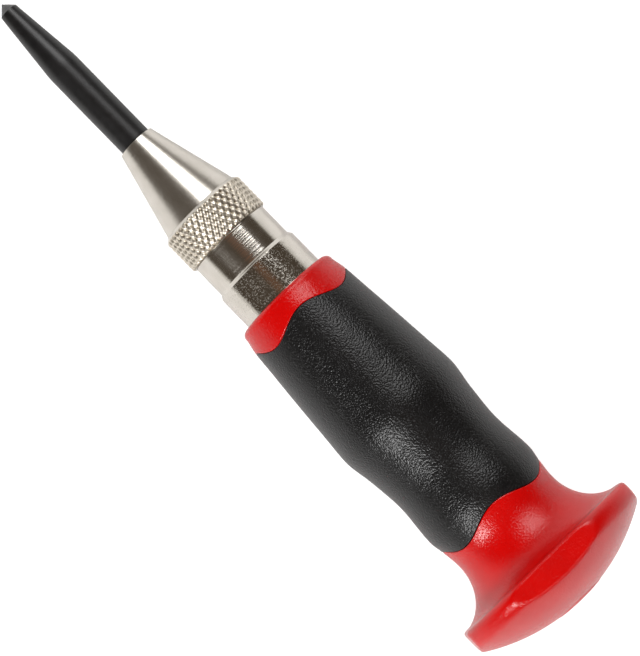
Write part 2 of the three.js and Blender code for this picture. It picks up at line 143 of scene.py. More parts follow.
def add(tree, kind, inputs=None, stops=(), **settings):
    """Add a node with its settings; each input is a value or the socket that feeds it.

    Stops are the positions and hex colours of a colour ramp.
    """
    node = tree.nodes.new(kind)
    for name, value in settings.items():
        setattr(node, name, value)
    for name, value in (inputs or {}).items():
        if isinstance(value, bpy.types.NodeSocket):
            tree.links.new(value, node.inputs[name])
        else:
            node.inputs[name].default_value = value
    for number, (position, hex_colour) in enumerate(stops):
        ramp = node.color_ramp.elements
        stop = ramp[number] if number < len(ramp) else ramp.new(position)
        stop.position = position
        stop.color = linear(hex_colour)
    return node


def new_finish(name, constants):
    """A material with its tree and its Principled shader, whose sockets get these constant values."""
    material = bpy.data.materials.new(name)
    material.use_nodes = True
    shader = material.node_tree.nodes["Principled BSDF"]
    for socket, value in constants.items():
        shader.inputs[socket].default_value = value
    return material, material.node_tree, shader


def feed(tree, shader, patterns):
    """Link each pattern's socket to the shader's socket of that name."""
    for socket, pattern in patterns.items():
        tree.links.new(pattern, shader.inputs[socket])


print("white is", linear("#ffffff"))

# %% [markdown]
# ## Satin nickel plate over turned steel
# The nose and the barrel are turned on a lathe and nickel plated. The lathe leaves fine rings, which
# spread reflections along the tool but keep them sharp round it. Nickel is a warm silver. The finest rings
# are too small to draw, so an anisotropic reflection stands for them, its tangent turned by a quarter to
# lie along the tool. The rings that show as faint streaks are one-dimensional noise along X, drawn 0.45 mm
# wide, which is coarser than the real ones, because narrower rings would be lost between the picture's
# pixels. Blasted metal sparkles because some flecks of it are rougher than others, so the grain sets the
# roughness too. Its flecks are drawn 0.3 mm wide, coarser than real ones, for the same reason.

# %% Turned nickel
RING_WIDTH = 0.45 * MM
FLECK_SIZE = 0.3 * MM
TARNISH_SIZE = 3.0 * MM
QUARTER_TURN = 0.25


def turned_nickel(name, ring_depth, fleck_depth, smooth, rough, spread):
    """Plated turned steel; depths are in metres, smooth and rough are the roughness of its two kinds of
    flecks, and spread is how far reflections are drawn out along the tool."""
    material, tree, shader = new_finish(name, {"Metallic": 1.0, "Anisotropic": spread,
                                               "Anisotropic Rotation": QUARTER_TURN})
    where = add(tree, "ShaderNodeTexCoord").outputs["Object"]
    along = add(tree, "ShaderNodeSeparateXYZ", {"Vector": where}).outputs["X"]
    rings = add(tree, "ShaderNodeTexNoise", {"W": along, "Scale": 1 / RING_WIDTH, "Detail": 3.0},
                noise_dimensions="1D").outputs["Fac"]
    flecks = add(tree, "ShaderNodeTexNoise",
                 {"Vector": where, "Scale": 1 / FLECK_SIZE, "Detail": 2.0}).outputs["Fac"]
    tarnish = add(tree, "ShaderNodeTexNoise",
                  {"Vector": where, "Scale": 1 / TARNISH_SIZE, "Detail": 3.0}).outputs["Fac"]
    ring_bump = add(tree, "ShaderNodeBump", {"Height": rings, "Distance": ring_depth}).outputs["Normal"]
    bump = add(tree, "ShaderNodeBump", {"Height": flecks, "Distance": fleck_depth, "Normal": ring_bump})
    round_axis = add(tree, "ShaderNodeTangent", direction_type="RADIAL", axis="X")
    colour = add(tree, "ShaderNodeValToRGB", {"Fac": tarnish},
                 [(NOISE_LOW, "#cbc6bd"), (NOISE_HIGH, "#d5d0c8")])
    roughness = add(tree, "ShaderNodeMapRange", {"Value": flecks, "From Min": 0.45, "From Max": 0.62,
                                                 "To Min": smooth, "To Max": rough})
    feed(tree, shader, {"Base Color": colour.outputs["Color"],
                        "Roughness": roughness.outputs["Result"],
                        "Normal": bump.outputs["Normal"],
                        "Tangent": round_axis.outputs["Tangent"]})
    return material


nickel_cone = turned_nickel("nickel_plate_fine_turned", ring_depth=0.03 * MM, fleck_depth=0.002 * MM,
                            smooth=0.28, rough=0.32, spread=0.3)
nickel_neck = turned_nickel("nickel_plate_turned", ring_depth=0.03 * MM, fleck_depth=0.002 * MM,
                            smooth=0.17, rough=0.21, spread=0.5)
nickel_body = turned_nickel("nickel_plate_blasted", ring_depth=0.003 * MM, fleck_depth=0.01 * MM,
                            smooth=0.06, rough=0.29, spread=0.0)
print("made", nickel_cone.name, nickel_neck.name, nickel_body.name)

# %% [markdown]
# ## Black oxide steel
# The point is hardened steel, blackened in a hot salt bath, which leaves a thin oxide film with a dull
# sheen. The film hides the metal, so this is a dark dielectric with the IOR of oil and not a metal. Faint
# rings from turning and oily smudges keep its highlight from being even.

# %% Black oxide steel
SMUDGE_SIZE = 2.0 * MM
MARK_DEPTH = 0.006 * MM

oxide, tree, shader = new_finish("black_oxide_steel_oiled", {"IOR": 1.5})
where = add(tree, "ShaderNodeTexCoord").outputs["Object"]
along = add(tree, "ShaderNodeSeparateXYZ", {"Vector": where}).outputs["X"]
rings = add(tree, "ShaderNodeTexNoise", {"W": along, "Scale": 1 / RING_WIDTH, "Detail": 2.0},
            noise_dimensions="1D").outputs["Fac"]
smudges = add(tree, "ShaderNodeTexNoise",
              {"Vector": where, "Scale": 1 / SMUDGE_SIZE, "Detail": 4.0}).outputs["Fac"]
bump = add(tree, "ShaderNodeBump", {"Height": rings, "Distance": MARK_DEPTH})
colour = add(tree, "ShaderNodeValToRGB", {"Fac": smudges},
             [(NOISE_LOW, "#0c0b0c"), (NOISE_HIGH, "#151415")])
roughness = add(tree, "ShaderNodeMapRange", {"Value": smudges, "To Min": 0.33, "To Max": 0.42})
feed(tree, shader, {"Base Color": colour.outputs["Color"],
                    "Roughness": roughness.outputs["Result"],
                    "Normal": bump.outputs["Normal"]})
print("made", oxide.name)

# %% [markdown]
# ## Ground steel
# The tip is ground after blackening, so bare grey steel shows there, with rings from the wheel. The pieces
# inside are ground too, and spring wire is drawn through a die, which also leaves fine lines. All three are
# one finish in different greys: the same rings move colour, roughness and height together.

# %% Ground steel
ROUGHNESS_SWING = 0.15


def ground_steel(name, dark_hex, light_hex, roughness):
    """Bare steel with fine rings from a wheel or a die."""
    material, tree, shader = new_finish(name, {"Metallic": 1.0})
    where = add(tree, "ShaderNodeTexCoord").outputs["Object"]
    along = add(tree, "ShaderNodeSeparateXYZ", {"Vector": where}).outputs["X"]
    rings = add(tree, "ShaderNodeTexNoise", {"W": along, "Scale": 1 / RING_WIDTH, "Detail": 3.0},
                noise_dimensions="1D").outputs["Fac"]
    bump = add(tree, "ShaderNodeBump", {"Height": rings, "Distance": MARK_DEPTH})
    colour = add(tree, "ShaderNodeValToRGB", {"Fac": rings},
                 [(NOISE_LOW, dark_hex), (NOISE_HIGH, light_hex)])
    ringed = add(tree, "ShaderNodeMapRange", {"Value": rings, "To Min": roughness * (1 - ROUGHNESS_SWING),
                                              "To Max": roughness * (1 + ROUGHNESS_SWING)})
    feed(tree, shader, {"Base Color": colour.outputs["Color"],
                        "Roughness": ringed.outputs["Result"],
                        "Normal": bump.outputs["Normal"]})
    return material


tip_steel = ground_steel("ground_tool_steel", "#4e4e4f", "#6c6c6c", roughness=0.35)
inner_steel = ground_steel("ground_hardened_steel", "#8a8a88", "#a8a8a5", roughness=0.32)
wire_steel = ground_steel("drawn_spring_wire", "#6e7074", "#8a8c90", roughness=0.38)
print("made", tip_steel.name, inner_steel.name, wire_steel.name)

# %% [markdown]
# ## Moulded red plastic
# The handle's core is a hard satin plastic such as ABS. The mould was spark eroded, which leaves tiny pits,
# so highlights are soft and grainy. The pits are drawn 0.4 mm wide, coarser than real ones, to show. The red
# is saturated where it mirrors the dark room above, and paler where it mirrors the white bench. ABS has an
# IOR of about 1.5. It is a little lower here, because the pits trap some of the mirrored light.

# %% Moulded red plastic
SPARK_PIT = 0.4 * MM
SPARK_DEPTH = 0.1 * MM
PIGMENT_SIZE = 6.0 * MM

red_abs, tree, shader = new_finish("red_abs_spark_textured", {"IOR": 1.43})
where = add(tree, "ShaderNodeTexCoord").outputs["Object"]
pits = add(tree, "ShaderNodeTexNoise",
           {"Vector": where, "Scale": 1 / SPARK_PIT, "Detail": 3.0}).outputs["Fac"]
pigment = add(tree, "ShaderNodeTexNoise",
              {"Vector": where, "Scale": 1 / PIGMENT_SIZE, "Detail": 2.0}).outputs["Fac"]
bump = add(tree, "ShaderNodeBump", {"Height": pits, "Distance": SPARK_DEPTH})
colour = add(tree, "ShaderNodeValToRGB", {"Fac": pigment},
             [(NOISE_LOW, "#c90000"), (NOISE_HIGH, "#d10201")])
roughness = add(tree, "ShaderNodeMapRange", {"Value": pits, "To Min": 0.17, "To Max": 0.27})
feed(tree, shader, {"Base Color": colour.outputs["Color"],
                    "Roughness": roughness.outputs["Result"],
                    "Normal": bump.outputs["Normal"]})
print("made", red_abs.name)

# %% [markdown]
# ## Soft black overmould
# The grip is a thermoplastic elastomer, moulded over the core in a second shot. Its surface has a fine
# leather grain, cells about 0.32 mm wide with soft creases between them, and a matte, slightly grey sheen.
# A Voronoi pattern gives the cells, and finer noise on top breaks up their crowns. The creases are painted a
# little darker than the crowns, which is painted shade. Its IOR is a little under the usual 1.5, as for the
# red plastic.

# %% Soft black overmould
GRAIN_CELL = 0.32 * MM
GRAIN_DEPTH = 0.1 * MM
CROWN_SIZE = 0.25 * MM
CROWN_DEPTH = 0.02 * MM

black_tpe, tree, shader = new_finish("black_tpe_leather_grain", {"IOR": 1.46})
where = add(tree, "ShaderNodeTexCoord").outputs["Object"]
cells = add(tree, "ShaderNodeTexVoronoi", {"Vector": where, "Scale": 1 / GRAIN_CELL, "Randomness": 1.0},
            feature="SMOOTH_F1").outputs["Distance"]
crowns = add(tree, "ShaderNodeTexNoise",
             {"Vector": where, "Scale": 1 / CROWN_SIZE, "Detail": 3.0}).outputs["Fac"]
cell_bump = add(tree, "ShaderNodeBump", {"Height": cells, "Distance": GRAIN_DEPTH}, invert=True)
bump = add(tree, "ShaderNodeBump", {"Height": crowns, "Distance": CROWN_DEPTH,
                                    "Normal": cell_bump.outputs["Normal"]})
# Painted shade: the creases between the cells are painted darker than their crowns.
colour = add(tree, "ShaderNodeValToRGB", {"Fac": cells}, [(0.1, "#101011"), (0.6, "#070708")])
roughness = add(tree, "ShaderNodeMapRange", {"Value": crowns, "To Min": 0.29, "To Max": 0.38})
feed(tree, shader, {"Base Color": colour.outputs["Color"],
                    "Roughness": roughness.outputs["Result"],
                    "Normal": bump.outputs["Normal"]})
print("made", black_tpe.name)

# %% [markdown]
# ## Natural nylon
# The stop washer inside the nose is moulded nylon, which is off-white and waxy. It has no grain, only a
# slightly uneven sheen.

# %% Natural nylon
WAX_SIZE = 1.5 * MM

nylon, tree, shader = new_finish("natural_nylon_moulded", {"IOR": 1.53})
where = add(tree, "ShaderNodeTexCoord").outputs["Object"]
wax = add(tree, "ShaderNodeTexNoise", {"Vector": where, "Scale": 1 / WAX_SIZE, "Detail": 3.0}).outputs["Fac"]
colour = add(tree, "ShaderNodeValToRGB", {"Fac": wax}, [(NOISE_LOW, "#dcd7c8"), (NOISE_HIGH, "#e8e4d8")])
roughness = add(tree, "ShaderNodeMapRange", {"Value": wax, "To Min": 0.4, "To Max": 0.55})
feed(tree, shader, {"Base Color": colour.outputs["Color"], "Roughness": roughness.outputs["Result"]})
print("made", nylon.name)

# %% [markdown]
# ## Rounding a profile
# Every shown piece is a turned or moulded form round the tool's axis, so it starts as a profile: how far out
# the surface is at each place along the tool, in millimetres. No real edge is perfectly sharp, and a rounded
# edge catches light, so a corner of a profile can carry a radius. A point right beside each rounding keeps
# the long faces next to it straight in the shading. A Bevel modifier could round edges too, but it would
# round all of them alike.

# %% Rounding a profile
CORNER_STEPS = 5
CORNER_SUPPORT = 0.01
# Radii of broken edges in millimetres, from the finest to the widest
FINE_BREAK = 0.1
GROUND_BREAK = 0.12
EDGE_BREAK = 0.15
WIDE_BREAK = 0.3
# How far inside a bore a closed profile starts, since the ends of its list aren't rounded
BORE_START = 2.0


def rounded(corners, steps=CORNER_STEPS):
    """Profile points from corners (along, out, radius); the ends of the list stay as they are."""
    points = [Vector(corners[0][:2])]
    for before, corner, after in zip(corners, corners[1:], corners[2:]):
        here = Vector(corner[:2])
        if not corner[2]:
            points.append(here)
            continue
        to_before = (Vector(before[:2]) - here).normalized()
        to_after = (Vector(after[:2]) - here).normalized()
        half = to_before.angle(to_after) / 2
        reach = corner[2] / math.tan(half)
        middle = here + (to_before + to_after).normalized() * corner[2] / math.sin(half)
        start = here + to_before * reach - middle
        end = here + to_after * reach - middle
        turn = start.angle_signed(end)
        points.append(here + to_before * (reach + CORNER_SUPPORT))
        for step in range(steps + 1):
            points.append(middle + Matrix.Rotation(-turn * step / steps, 2) @ start)
        points.append(here + to_after * (reach + CORNER_SUPPORT))
    points.append(Vector(corners[-1][:2]))
    return [(point.x, point.y) for point in points]


def plain(points):
    """Corners without a radius, from profile points."""
    return [(*point, 0) for point in points]


square = rounded([(0, 0, 0), (1, 0, FINE_BREAK), (1, 1, 0)])
print("a corner becomes", len(square) - 2, "points")

# %% [markdown]
# ## Turning a piece
# Blender's Screw modifier could spin a profile, but here some edges wave round the handle and the palm head
# has flats. So a function makes the rings itself, and lets another function shift each ring's points before
# they are joined. A second function puts a mesh in the tool's axes, ties it to the body it moves with and
# hides the node that it stands for.

# %% Turning a piece
WELD = 0.0005 * MM
SHARP_ANGLE = 32
SECOND_FINISH = 1


def smooth_mesh(name, points, faces, sharp):
    """A welded, smooth-shaded mesh; edges that turn by more than the sharp angle, in degrees, stay sharp."""
    mesh = bpy.data.meshes.new(name)
    mesh.from_pydata(points.tolist(), [], faces)
    work = bmesh.new()
    work.from_mesh(mesh)
    bmesh.ops.remove_doubles(work, verts=work.verts, dist=WELD)
    bmesh.ops.recalc_face_normals(work, faces=work.faces)
    work.to_mesh(mesh)
    work.free()
    mesh.shade_smooth()
    mesh.set_sharp_from_angle(angle=math.radians(sharp))
    return mesh


def turned(name, profile, sides, reshape=None, closed=False, sharp=SHARP_ANGLE):
    """A mesh from a profile in millimetres, open from axis to axis or closed round a bore."""
    along, out = np.array(profile).T[:, :, None] * np.ones(sides)
    angle = np.ones(len(profile))[:, None] * np.arange(sides) * 2 * np.pi / sides
    if reshape:
        along, out = reshape(along, out, angle)
    points = np.stack([along, out * np.sin(angle), out * np.cos(angle)], axis=-1).reshape(-1, 3) * MM
    rows = len(profile) if closed else len(profile) - 1
    faces = []
    for row in range(rows):
        first = row * sides
        second = (row + 1) % len(profile) * sides
        for column in range(sides):
            following = (column + 1) % sides
            faces.append((first + column, second + column, second + following, first + following))
    return smooth_mesh(name, points, faces, sharp)


def dress(mesh, finishes, body, node):
    """Put a mesh in the tool's axes as the piece that stands for a node."""
    piece = bpy.data.objects.new(mesh.name, mesh)
    bpy.context.scene.collection.objects.link(piece)
    piece.matrix_world = tool_axes
    for finish in finishes:
        mesh.materials.append(finish)
    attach(piece, body)
    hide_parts(node)
    print(mesh.name, len(mesh.polygons), "faces")
    return piece


def second_finish_where(mesh, test):
    """Give the faces whose middle passes a test, on its place along and out, the second finish."""
    for face in mesh.polygons:
        if test(face.center.x / MM, math.hypot(face.center.y, face.center.z) / MM):
            face.material_index = SECOND_FINISH


# %% [markdown]
# ## The point
# A round bar with a long taper and a 90 degree ground tip. The rear is hidden in the nose and ends in a
# stud that screws into the plunger. The tip has a tiny flat, as a ground point always has. The taper runs
# into the shank without an edge, so that corner has a large radius.

# %% The point
SHANK_RADIUS = 3.5
TIP_FLAT_RADIUS = 0.1
TIP_FLAT_CROWN = 0.03
TIP_FLAT_ROUND = 0.05
TIP_LENGTH = 2.0
TIP_RADIUS = 2.0
TAPER_END = 17.5
TAPER_BLEND = 16.0
POINT_REAR = 45.15
STUD_RADIUS = 2.0
STUD_END = 50.15
GRINDING_MARGIN = 0.02
SHOWN_SIDES = 192

point_mesh = turned("point", rounded([
    (0.0, 0.0, 0),
    (TIP_FLAT_CROWN, TIP_FLAT_RADIUS, TIP_FLAT_ROUND),
    (TIP_LENGTH, TIP_RADIUS, GROUND_BREAK),
    (TAPER_END, SHANK_RADIUS, TAPER_BLEND),
    (POINT_REAR, SHANK_RADIUS, WIDE_BREAK),
    (POINT_REAR, STUD_RADIUS, EDGE_BREAK),
    (STUD_END, STUD_RADIUS, WIDE_BREAK),
    (STUD_END, 0.0, 0),
]), SHOWN_SIDES)
dress(point_mesh, [oxide, tip_steel], "plunger", "punch_point")
second_finish_where(point_mesh, lambda along, out: along < TIP_LENGTH - GRINDING_MARGIN)

# %% [markdown]
# ## The knurled nose
# The nose is a plated cone with a diamond knurl, which gives fingers a hold to unscrew it. A knurl is two
# sets of V grooves rolled in along opposite helices, leaving small pyramids. A bump map would look flat at
# the outline, so the grooves are real geometry. Rolling squeezes the metal up between the grooves, so the
# pyramids are pillows rather than sharp, and the surface is deepest where two grooves cross. The front and
# rear of the band are chamfered, as a turner does to break the sharp ends of the knurl.

# %% The knurled nose
NOSE_FRONT = 38.65
CONE_REAR = 57.1
NOSE_REAR = 65.3
NOSE_BORE = 3.8
NOSE_BORE_START = 0.6
NOSE_LAND = 0.25
CONE_REAR_RADIUS = 8.83
KNURL_RADIUS = 9.8
KNURL_FRONT_CHAMFER = 0.85
KNURL_REAR_CHAMFER = 0.45
KNURL_TEETH = 42
KNURL_LEAD = 2.28
KNURL_DEPTH = 0.5
KNURL_PILLOW = 1.6
KNURL_MARGIN = 0.05
KNURL_SHARP_ANGLE = 60
POINTS_PER_TOOTH = 16
COLLAR_BORE = 5.6
THREAD_BORE = 7.5
THREAD_FRONT = 56.45
NOSE_SHOULDER = 49.15


def groove_wall(phase):
    """0 at the bottom of a groove, 1 halfway to the next one."""
    return 1 - np.abs(2 * (phase % 1) - 1)


def knurl(along, out, angle):
    """Sink the points of the knurled band into two crossing sets of grooves."""
    round_share = angle * KNURL_TEETH / (2 * np.pi)
    lead_share = (along - CONE_REAR) / KNURL_LEAD
    height = (groove_wall(round_share + lead_share) + groove_wall(round_share - lead_share)) / 2
    rolled = KNURL_RADIUS - KNURL_DEPTH * (1 - height) ** KNURL_PILLOW
    on_band = (along >= CONE_REAR) & (along <= NOSE_REAR) & (out > CONE_REAR_RADIUS + KNURL_MARGIN)
    return along, np.where(on_band, np.minimum(out, rolled), out)


knurl_steps = round((NOSE_REAR - CONE_REAR) / KNURL_LEAD * POINTS_PER_TOOTH)
knurl_band = []
for step in range(knurl_steps + 1):
    along = CONE_REAR + (NOSE_REAR - CONE_REAR) * step / knurl_steps
    from_front = along - CONE_REAR
    from_rear = NOSE_REAR - along
    sink = max(KNURL_FRONT_CHAMFER - from_front, KNURL_REAR_CHAMFER - from_rear, 0)
    knurl_band.append((along, KNURL_RADIUS - sink))
nose_front = rounded([
    (NOSE_FRONT + NOSE_BORE_START, NOSE_BORE, 0),
    (NOSE_FRONT, NOSE_BORE, GROUND_BREAK),
    (NOSE_FRONT, NOSE_BORE + NOSE_LAND, FINE_BREAK),
    (CONE_REAR, CONE_REAR_RADIUS, 0),
])
nose_inside = [
    (NOSE_REAR, THREAD_BORE),
    (THREAD_FRONT, THREAD_BORE),
    (THREAD_FRONT, COLLAR_BORE),
    (NOSE_SHOULDER, COLLAR_BORE),
    (NOSE_SHOULDER, NOSE_BORE),
]
nose_mesh = turned("nose", nose_front + knurl_band + nose_inside, KNURL_TEETH * POINTS_PER_TOOTH,
                   knurl, closed=True, sharp=KNURL_SHARP_ANGLE)
print("knurl:", KNURL_TEETH, "teeth round,", knurl_steps, "steps along")

# %% [markdown]
# ## The knurl's plating and painted groove shade
# The knurl is painted darker and browner towards the bottom of its grooves. This is painted shade, standing
# in for the shade that falls deep in them. An ambient occlusion node could find the grooves, but the band is
# turned, so the distance from the tool's axis tells the same: it is the length of the coordinates without X.
# The front of the chamfer gets no painted shade and keeps the cone's finish.

# %% The knurl's plating and painted groove shade
SCUFF_SIZE = 0.4 * MM
# Share of the front chamfer that gets no painted groove shade
UNSHADED_CHAMFER_SHARE = 0.6
WITHOUT_X = (0, 1, 1)

nickel_knurl, tree, shader = new_finish("nickel_plate_knurled", {"Metallic": 1.0})
where = add(tree, "ShaderNodeTexCoord").outputs["Object"]
from_axis = add(tree, "ShaderNodeVectorMath", {0: where, 1: WITHOUT_X}, operation="MULTIPLY")
radius = add(tree, "ShaderNodeVectorMath", {0: from_axis.outputs["Vector"]}, operation="LENGTH")
level = add(tree, "ShaderNodeMapRange", {"Value": radius.outputs["Value"],
                                         "From Min": (KNURL_RADIUS - KNURL_DEPTH) * MM,
                                         "From Max": KNURL_RADIUS * MM}).outputs["Result"]
scuffs = add(tree, "ShaderNodeTexNoise",
             {"Vector": where, "Scale": 1 / SCUFF_SIZE, "Detail": 2.0}).outputs["Fac"]
# Painted shade: the bottoms of the grooves are painted dark brown, the tops of the pyramids pale nickel.
colour = add(tree, "ShaderNodeValToRGB", {"Fac": level}, [(0.1, "#857961"), (0.6, "#dcd4c6")])
roughness = add(tree, "ShaderNodeMapRange", {"Value": scuffs, "To Min": 0.28, "To Max": 0.42})
feed(tree, shader, {"Base Color": colour.outputs["Color"], "Roughness": roughness.outputs["Result"]})
plating_front = CONE_REAR + KNURL_FRONT_CHAMFER * UNSHADED_CHAMFER_SHARE
dress(nose_mesh, [nickel_cone, nickel_knurl], "nose", "nose_cone")
second_finish_where(nose_mesh, lambda along, out: (plating_front < along < NOSE_REAR
                                                   and out > CONE_REAR_RADIUS))

# %% [markdown]
# ## The barrel
# A turned tube with a narrow neck behind the nose and a wider body that goes into the handle. Between them
# is a bright chamfer. The neck shows the lathe's rings, the body has a blasted sparkle. The nose is screwed
# tight against the neck, so only a hairline is left between them.

# %% The barrel
SPIGOT_FRONT = 56.75
SPIGOT_RADIUS = 7.2
NOSE_HAIRLINE = 0.05
NECK_FRONT = NOSE_REAR + NOSE_HAIRLINE
NECK_RADIUS = 9.05
BARREL_STEP = 72.5
BARREL_RADIUS = 9.66
BARREL_CHAMFER_LENGTH = 0.8
BARREL_CHAMFER_RISE = 0.55
BARREL_CHAMFER_BREAK = 0.08
BARREL_REAR = 137.65
BARREL_SHOULDER = 68.45
BARREL_BORE = 7.6
BARREL_BORE_BREAK = 0.2

body_front = BARREL_STEP + BARREL_CHAMFER_LENGTH
barrel_mesh = turned("barrel_tube", rounded([
    (SPIGOT_FRONT + BORE_START, COLLAR_BORE, 0),
    (SPIGOT_FRONT, COLLAR_BORE, WIDE_BREAK),
    (SPIGOT_FRONT, SPIGOT_RADIUS, WIDE_BREAK),
    (NECK_FRONT, SPIGOT_RADIUS, FINE_BREAK),
    (NECK_FRONT, NECK_RADIUS, EDGE_BREAK),
    (BARREL_STEP, NECK_RADIUS, 0),
    (BARREL_STEP, BARREL_RADIUS - BARREL_CHAMFER_RISE, 0),
    (body_front, BARREL_RADIUS, BARREL_CHAMFER_BREAK),
    (BARREL_REAR, BARREL_RADIUS, WIDE_BREAK),
    (BARREL_REAR, BARREL_BORE, BARREL_BORE_BREAK),
    (BARREL_SHOULDER, BARREL_BORE, FINE_BREAK),
    (BARREL_SHOULDER, COLLAR_BORE, 0),
]), SHOWN_SIDES, closed=True)
dress(barrel_mesh, [nickel_neck, nickel_body], "handle", "barrel")
second_finish_where(barrel_mesh, lambda along, out: along > body_front)

# %% [markdown]
# ## The handle's outline
# Collar, grip and neck share one smooth outline, so that the black grip lies flush in the red core. It is a
# curve through a few measured places: the collar, the swell for the thumb, the waist and the neck. A Bezier
# curve would need handles placed by eye. Here the slope at each place follows from its neighbours, so the
# curve never swings past a measured width.

# %% The handle's outline
COLLAR_FRONT = 81.0
COLLAR_RADIUS = 11.7
COLLAR_ROUND = 1.2
GRIP_FRONT = 86.75
GRIP_REAR = 140.5
GRIP_BORE = 11.9
FLARE_START = 12.8
FLARE_LENGTH = 10.0
HEAD_PLANE = 153.7
CURVE_STEPS = 14
FRONT_EDGE = 1
REAR_EDGE = 7

outline_places = [
    (COLLAR_FRONT + COLLAR_ROUND, COLLAR_RADIUS),
    (GRIP_FRONT, GRIP_BORE + 0.45),
    (GRIP_FRONT + 20.95, GRIP_BORE + 2.23),
    (GRIP_FRONT + 26.6, GRIP_BORE + 2.62),
    (GRIP_FRONT + 33.2, GRIP_BORE + 1.75),
    (GRIP_FRONT + 40.65, GRIP_BORE + 1.14),
    (GRIP_FRONT + 49.6, GRIP_BORE + 1.75),
    (GRIP_REAR, GRIP_BORE + 1.31),
    (HEAD_PLANE - FLARE_LENGTH, FLARE_START),
]
OUTLINE_END = len(outline_places) - 1


def mean_slope(number):
    """Slope of the straight line from a numbered place to the next."""
    (along, out), (next_along, next_out) = outline_places[number:number + 2]
    return (next_out - out) / (next_along - along)


def slope_at(number):
    """Slope of the outline at a place; it is level where the outline is widest, narrowest or ends."""
    if number == 0:
        return mean_slope(0)
    if number == OUTLINE_END:
        return 0
    before, after = mean_slope(number - 1), mean_slope(number)
    return 2 * before * after / (before + after) if before * after > 0 else 0


def outline_between(first, last):
    """Points of the smooth outline from one numbered place to another."""
    points = []
    for number in range(first, last):
        (along, out), (next_along, next_out) = outline_places[number:number + 2]
        length = next_along - along
        for step in range(CURVE_STEPS):
            t = step / CURVE_STEPS
            height = (out * (2 * t ** 3 - 3 * t ** 2 + 1) + next_out * (3 * t ** 2 - 2 * t ** 3)
                      + length * slope_at(number) * (t ** 3 - 2 * t ** 2 + t)
                      + length * slope_at(number + 1) * (t ** 3 - t ** 2))
            points.append((along + length * t, height))
    points.append(outline_places[last])
    return points


print("outline from", outline_places[0], "to", outline_places[OUTLINE_END])

# %% [markdown]
# ## The grip
# The soft grip is a sleeve in the core's recess. Both of its edges wave round the handle with four lobes
# that point to the tip where the palm flats are. The wave shifts the points of a turned sleeve along the
# tool, most at the edge and nothing a few millimetres away. The outer edges are slightly rounded where the
# two materials meet, which draws the fine line between red and black.

# %% The grip
GRIP_SEAT = 11.6
SEAT_MARGIN = 0.15
GRIP_LOBES = 4
GRIP_WAVE = 1.22
WAVE_FADE = 4.0
PARTING = 0.06
EDGE_ROUND = 0.2
HANDLE_SIDES = 512


def wave(along, out, angle):
    """Shift points near the grip's edges along the tool, most at the edge itself."""
    from_edge = np.minimum(np.abs(along - GRIP_FRONT), np.abs(along - GRIP_REAR))
    share = np.clip(1 - from_edge / WAVE_FADE, 0, 1)
    share = np.where(out > GRIP_SEAT - SEAT_MARGIN, share, 0)
    return along - GRIP_WAVE * share * np.cos(GRIP_LOBES * angle), out


grip_front = GRIP_FRONT + PARTING
grip_rear = GRIP_REAR - PARTING
grip_mesh = turned("grip", rounded([
    (GRIP_FRONT + BORE_START, GRIP_BORE, 0),
    (grip_front, GRIP_BORE, 0),
    (grip_front, outline_places[FRONT_EDGE][1], EDGE_ROUND),
    *plain(outline_between(FRONT_EDGE, REAR_EDGE)[1:-1]),
    (grip_rear, outline_places[REAR_EDGE][1], EDGE_ROUND),
    (grip_rear, GRIP_BORE, 0),
    (GRIP_REAR - BORE_START, GRIP_BORE, 0),
]), HANDLE_SIDES, wave, closed=True)
dress(grip_mesh, [black_tpe], "handle", "grip_sleeve")

# %% [markdown]
# ## The red core's form
# The core is one moulding: a collar in front, a thin tube under the grip, and a mushroom head that fills
# the palm. The head is a dome with four flats. A Boolean cut would leave the flats with sharp edges, so the
# turned form is pressed back to each flat where it would go beyond it, with a soft change between them,
# which rounds the flats' edges as a mould does. The edge of a flat towards the grip gets a radius of its own.

# %% The red core's form
HEAD_RADIUS = 23.8
HEAD_FLAT = 21.4
RIM_REAR = 157.25
DOME_RADIUS = 40.4
FLAT_EDGE = 0.55
FLAT_FRONT_ROUND = 0.7
NEAR_AXIS = 1.0
ARC_STEPS = 40
dome_centre = RIM_REAR - math.sqrt(DOME_RADIUS ** 2 - HEAD_RADIUS ** 2)


def dome_height(out):
    """Place along the tool of the dome's surface at a distance from the axis."""
    return dome_centre + math.sqrt(DOME_RADIUS ** 2 - out ** 2)


def dome_arc(first, last, proud):
    """Points of the dome, or of a form proud of it, from one distance from the axis to another."""
    steps = [first + (last - first) * step / ARC_STEPS for step in range(ARC_STEPS + 1)]
    return [(dome_height(out) + proud, out) for out in steps]


def core_form(along, out, angle):
    """Wave the grip's recess and press the head to its four flats."""
    along, out = wave(along, out, angle)
    reach = np.maximum(np.abs(np.sin(angle)), np.abs(np.cos(angle))) * out
    inset = np.clip(FLAT_FRONT_ROUND - (along - HEAD_PLANE), 0, FLAT_FRONT_ROUND)
    flat = HEAD_FLAT - FLAT_FRONT_ROUND + np.sqrt(FLAT_FRONT_ROUND ** 2 - inset ** 2)
    blend = np.clip(0.5 + (flat - reach) / (2 * FLAT_EDGE), 0, 1)
    pressed = flat + (reach - flat) * blend - FLAT_EDGE * blend * (1 - blend)
    return along, np.where(out > NEAR_AXIS, out * pressed / np.maximum(reach, NEAR_AXIS), out)


print("dome ends", round(dome_height(0), 2), "mm from the tip")

# %% [markdown]
# ## The red core and its palm disc
# The profile goes from the bore round the collar, down into the grip's recess, up again to the neck, along a
# quarter of an ellipse to the head and over the dome to a shallow well. A plain disc is pressed into the
# well. It stands a hair proud of the dome, so that its edge draws a fine line.

# %% The red core and its palm disc
CORE_BORE = 9.96
BARREL_CLEARANCE = 0.3
FLARE_LAND = 0.1
RIM_FRONT_ROUND = 1.8
RIM_REAR_ROUND = 3.0
RIM_TO_DOME = 2.0
HEAD_ROUND_STEPS = 16
DISC_RADIUS = 5.5
DISC_GAP = 0.3
DISC_THICKNESS = 1.0
DISC_PROUD = 0.08
DISC_RIM = 0.4

